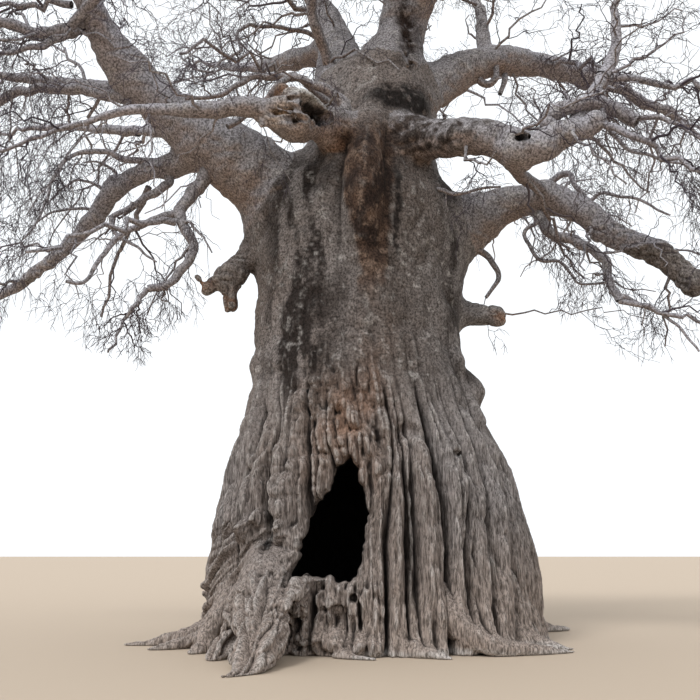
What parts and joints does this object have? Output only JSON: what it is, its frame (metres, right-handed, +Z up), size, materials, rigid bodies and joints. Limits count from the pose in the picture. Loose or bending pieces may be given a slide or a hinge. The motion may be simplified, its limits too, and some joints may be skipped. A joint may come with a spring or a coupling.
{
  "type": "bare baobab tree",
  "caption": "Very old baobab in its dry season: a fluted trunk with a walk-in hollow, great forking boughs and bare twigs.",
  "frame": {"origin": "middle of the flat cut under the trunk, at ground level", "axes": "+Z up along the trunk; the doorway faces -Y; +X is to the right seen from the front"},
  "size_m": [27.5131, 21.1747, 20.78],
  "materials": {
    "trunk_bark": "rough, folded grey-brown bark, weathered and dusty at the foot",
    "bough_bark": "rough grey bark with dark lichen",
    "twigs": "matt grey-brown twigs"
  },
  "bodies": {
    "root": {"trunk": "trunk_bark", "bough_left_great": "bough_bark", "bough_left_great_outer": "bough_bark", "bough_left_level": "bough_bark", "bough_left_rear": "bough_bark", "bough_left_low": "bough_bark", "bough_left_low_outer": "bough_bark", "bough_left_hook": "bough_bark", "bough_torn": "bough_bark", "bough_torn_outer": "bough_bark", "bough_right_front": "bough_bark", "bough_right_front_outer": "bough_bark", "bough_right_front_rise": "bough_bark", "bough_right_great": "bough_bark", "bough_right_great_middle": "bough_bark", "bough_right_great_outer": "bough_bark", "bough_right_hanging": "bough_bark", "bough_pillar": "bough_bark", "bough_pillar_left": "bough_bark", "bough_pillar_right": "bough_bark", "bough_pillar_front": "bough_bark", "bough_top_left": "bough_bark", "bough_upper_right": "bough_bark", "bough_upper_right_outer": "bough_bark", "bough_upper_right_rise": "bough_bark", "bough_back_left": "bough_bark", "bough_back": "bough_bark", "bough_back_right": "bough_bark", "bough_back_high_left": "bough_bark", "bough_back_high_right": "bough_bark", "twigs_left_great": "twigs", "twigs_left_great_under": "twigs", "twigs_left_level": "twigs", "twigs_left_rear": "twigs", "twigs_left_low": "twigs", "twigs_left_low_under": "twigs", "twigs_hook": "twigs", "twigs_hook_side": "twigs", "twigs_torn": "twigs", "twigs_front_left": "twigs", "twigs_right_front": "twigs", "twigs_right_front_level": "twigs", "twigs_right_front_low": "twigs", "twigs_right_hump": "twigs", "twigs_right_great": "twigs", "twigs_right_hanging": "twigs", "twigs_stump": "twigs", "twigs_pillar_left": "twigs", "twigs_pillar_right": "twigs", "twigs_pillar_front": "twigs", "twigs_top_left": "twigs", "twigs_top_left_side": "twigs", "twigs_upper_right": "twigs", "twigs_upper_right_under": "twigs", "twigs_upper_right_rise": "twigs", "twigs_back_left": "twigs", "twigs_back": "twigs", "twigs_back_right": "twigs", "twigs_back_high_left": "twigs", "twigs_back_high_right": "twigs"}
  },
  "joints": []
}
